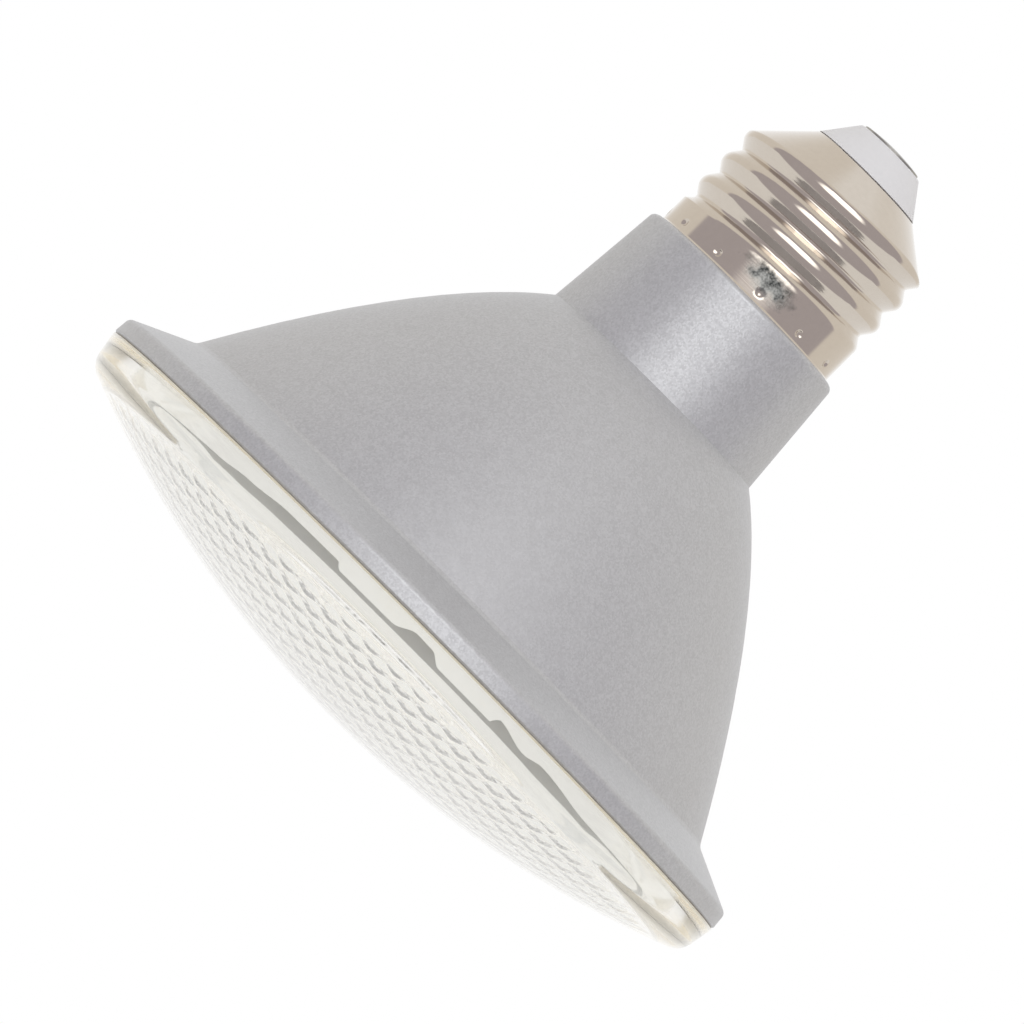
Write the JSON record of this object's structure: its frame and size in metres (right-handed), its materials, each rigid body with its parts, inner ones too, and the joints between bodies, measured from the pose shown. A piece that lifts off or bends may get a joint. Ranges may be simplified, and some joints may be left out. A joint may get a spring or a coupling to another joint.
{
  "type": "par spotlight bulb",
  "caption": "LED reflector lamp with a clear dimpled lens, a flared silver bell housing and a medium screw base.",
  "frame": {"origin": "centre of the contact's end face, where the lamp meets the holder's centre contact", "axes": "+Z along the lamp's axis, out of the base; the lens looks along -Z"},
  "size_m": [0.0954, 0.0954, 0.0904],
  "materials": {
    "silver_paint": "metallic silver spray paint on moulded PBT",
    "clear_polycarbonate": "clear injection-moulded polycarbonate",
    "nickel_plate": "bright nickel plate on rolled brass",
    "insulator_plastic": "light grey moulded insulator",
    "contact_plate": "nickel-plated brass contact",
    "aluminised_bowl": "vacuum-aluminised plastic",
    "sink_aluminium": "deep-drawn aluminium",
    "white_solder_mask": "white solder mask on a metal-core board",
    "led_phosphor": "silicone with yellow phosphor in a white body",
    "zinc_steel": "zinc-plated steel",
    "green_laminate": "glass-epoxy board with green solder mask",
    "capacitor_sleeve": "black shrink sleeve over an aluminium can",
    "film_case": "dipped film capacitor",
    "ferrite": "sintered ferrite",
    "winding_tape": "yellow polyester winding tape",
    "black_epoxy": "moulded epoxy package",
    "resistor_coating": "flameproof resistor coating",
    "red_insulation": "PVC lead insulation",
    "white_insulation": "PVC lead insulation",
    "black_insulation": "PVC lead insulation"
  },
  "bodies": {
    "root": {"housing": "silver_paint", "lens": "clear_polycarbonate", "screw_shell": "nickel_plate", "base_insulator": "insulator_plastic", "centre_contact": "contact_plate", "reflector": "aluminised_bowl", "heat_sink": "sink_aluminium", "led_board": "white_solder_mask", "led_01": "led_phosphor", "led_02": "led_phosphor", "led_03": "led_phosphor", "led_04": "led_phosphor", "led_05": "led_phosphor", "led_06": "led_phosphor", "led_07": "led_phosphor", "led_08": "led_phosphor", "led_09": "led_phosphor", "led_10": "led_phosphor", "led_11": "led_phosphor", "led_12": "led_phosphor", "board_screws": "zinc_steel", "driver_board": "green_laminate", "bulk_capacitor": "capacitor_sleeve", "output_capacitor": "capacitor_sleeve", "film_capacitor": "film_case", "transformer_core": "ferrite", "transformer_winding": "winding_tape", "filter_choke": "ferrite", "bridge_rectifier": "black_epoxy", "driver_ic": "black_epoxy", "fuse_resistor": "resistor_coating", "live_lead": "red_insulation", "neutral_lead": "white_insulation", "led_lead_positive": "red_insulation", "led_lead_negative": "black_insulation"}
  },
  "joints": []
}
